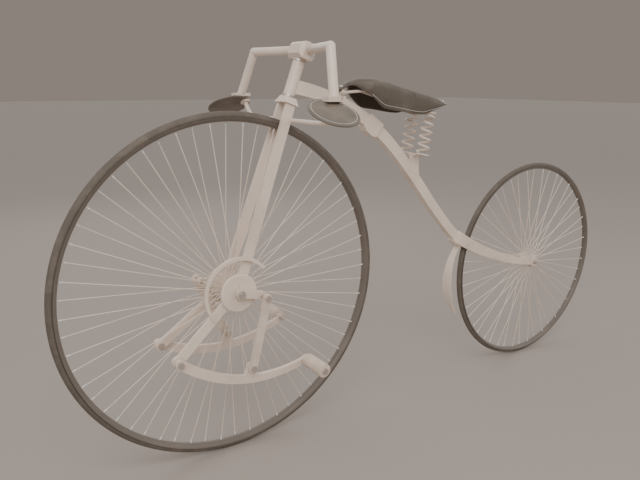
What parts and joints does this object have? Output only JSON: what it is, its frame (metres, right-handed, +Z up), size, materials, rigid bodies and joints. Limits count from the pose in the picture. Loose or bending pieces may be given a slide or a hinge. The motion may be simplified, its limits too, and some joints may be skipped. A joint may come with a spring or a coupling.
{
  "type": "lever-driven high-wheel bicycle",
  "caption": "Old high-wheel bicycle with a large spoked front wheel driven by foot levers, a curved backbone, a sprung saddle and a small trailing wheel.",
  "frame": {"origin": "on the ground, under the middle of the overall length, in the middle plane", "axes": "+X towards the large front wheel, +Y to the rider's left, +Z up"},
  "size_m": [2.3389, 0.7566, 1.2652],
  "materials": {
    "cream_enamel": "satin enamel",
    "bright_steel": "satin",
    "spring_enamel": "satin enamel",
    "tyre_rubber": "matte",
    "rim_enamel": "satin enamel",
    "pad_leather": "worn leather",
    "saddle_leather": "worn leather"
  },
  "bodies": {
    "frame": {"head_tube": "cream_enamel", "head_bearing_lower": "bright_steel", "backbone": "cream_enamel", "saddle_clip": "cream_enamel", "nose_post": "cream_enamel", "rear_collar": "cream_enamel", "rear_blade_left": "cream_enamel", "rear_blade_right": "cream_enamel", "rear_guard": "cream_enamel", "spring_bracket": "cream_enamel", "saddle_springs": "spring_enamel", "rear_axle": "bright_steel", "rear_axle_nuts": "bright_steel"},
    "front_fork": {"fork_crown": "cream_enamel", "fork_blade_left": "cream_enamel", "fork_blade_right": "cream_enamel", "front_bearings": "bright_steel", "bearing_covers": "cream_enamel", "cover_screws": "bright_steel", "crank_guard": "cream_enamel", "lever_bolt_left": "bright_steel", "lever_bolt_right": "bright_steel", "head_bearing_upper": "bright_steel", "bar_clamp": "cream_enamel", "clamp_bolts": "bright_steel", "handlebar": "cream_enamel", "hand_pad_left": "pad_leather", "hand_pad_right": "pad_leather", "pad_arm_left": "cream_enamel", "pad_arm_right": "cream_enamel", "pad_bolts": "bright_steel"},
    "front_wheel": {"front_tyre": "tyre_rubber", "front_rim": "rim_enamel", "front_spokes": "cream_enamel", "front_hub": "cream_enamel", "front_axle": "bright_steel", "crank_left": "cream_enamel", "crank_right": "cream_enamel", "crank_nuts": "bright_steel", "crank_pin_left": "bright_steel", "crank_pin_right": "bright_steel"},
    "rear_wheel": {"rear_tyre": "tyre_rubber", "rear_rim": "rim_enamel", "rear_spokes": "cream_enamel", "rear_hub": "cream_enamel", "rear_bearings": "bright_steel"},
    "saddle": {"saddle_frame": "spring_enamel", "saddle_cover": "saddle_leather"},
    "lever_left": {"lever_left": "cream_enamel", "link_pin_left": "bright_steel", "pedal_spindle_left": "bright_steel"},
    "link_left": {"link_left": "cream_enamel", "link_head_left": "bright_steel"},
    "pedal_left": {"pedal_left": "cream_enamel"},
    "lever_right": {"lever_right": "cream_enamel", "link_pin_right": "bright_steel", "pedal_spindle_right": "bright_steel"},
    "link_right": {"link_right": "cream_enamel", "link_head_right": "bright_steel"},
    "pedal_right": {"pedal_right": "cream_enamel"}
  },
  "joints": [
    {"name": "steering", "type": "hinge", "parent": "frame", "child": "front_fork", "pos_m": [0.42684, 0, 1.10903], "axis": [-0.342, 0, 0.9397], "range_deg": [-50, 50]},
    {"name": "front_wheel_spin", "type": "hinge", "parent": "front_fork", "child": "front_wheel", "pos_m": [0.6365, 0, 0.533], "axis": [0, 1, 0], "continuous": true},
    {"name": "rear_wheel_spin", "type": "hinge", "parent": "frame", "child": "rear_wheel", "pos_m": [-0.7545, 0, 0.415], "axis": [0, 1, 0], "continuous": true},
    {"name": "lever_left_swing", "type": "hinge", "parent": "front_fork", "child": "lever_left", "pos_m": [0.8435, 0.0895, 0.367], "axis": [0, 1, 0], "range_deg": [-16.9, 20.2]},
    {"name": "link_left_swing", "type": "hinge", "parent": "lever_left", "child": "link_left", "pos_m": [0.62002, 0.1045, 0.30471], "axis": [0, 1, 0], "range_deg": [-20.2, 16.9]},
    {"name": "pedal_left_spin", "type": "hinge", "parent": "lever_left", "child": "pedal_left", "pos_m": [0.42194, 0.1505, 0.28221], "axis": [0, 1, 0], "continuous": true},
    {"name": "lever_right_swing", "type": "hinge", "parent": "front_fork", "child": "lever_right", "pos_m": [0.8435, -0.0895, 0.367], "axis": [0, 1, 0], "range_deg": [-27.9, 9.1]},
    {"name": "link_right_swing", "type": "hinge", "parent": "lever_right", "child": "link_right", "pos_m": [0.61222, -0.1045, 0.34873], "axis": [0, 1, 0], "range_deg": [-9.1, 27.9]},
    {"name": "pedal_right_spin", "type": "hinge", "parent": "lever_right", "child": "pedal_right", "pos_m": [0.41351, -0.1505, 0.36463], "axis": [0, 1, 0], "continuous": true},
    {"name": "saddle_rock", "type": "hinge", "parent": "frame", "child": "saddle", "pos_m": [0.2345, 0, 1.11657], "axis": [0, 1, 0], "range_deg": [-2.5, 0.5], "deforming": ["saddle_springs"]}
  ],
  "couplings": [
    {"joint": "link_left_swing", "follows": "lever_left_swing", "ratio": -1},
    {"joint": "link_right_swing", "follows": "lever_right_swing", "ratio": -1}
  ]
}
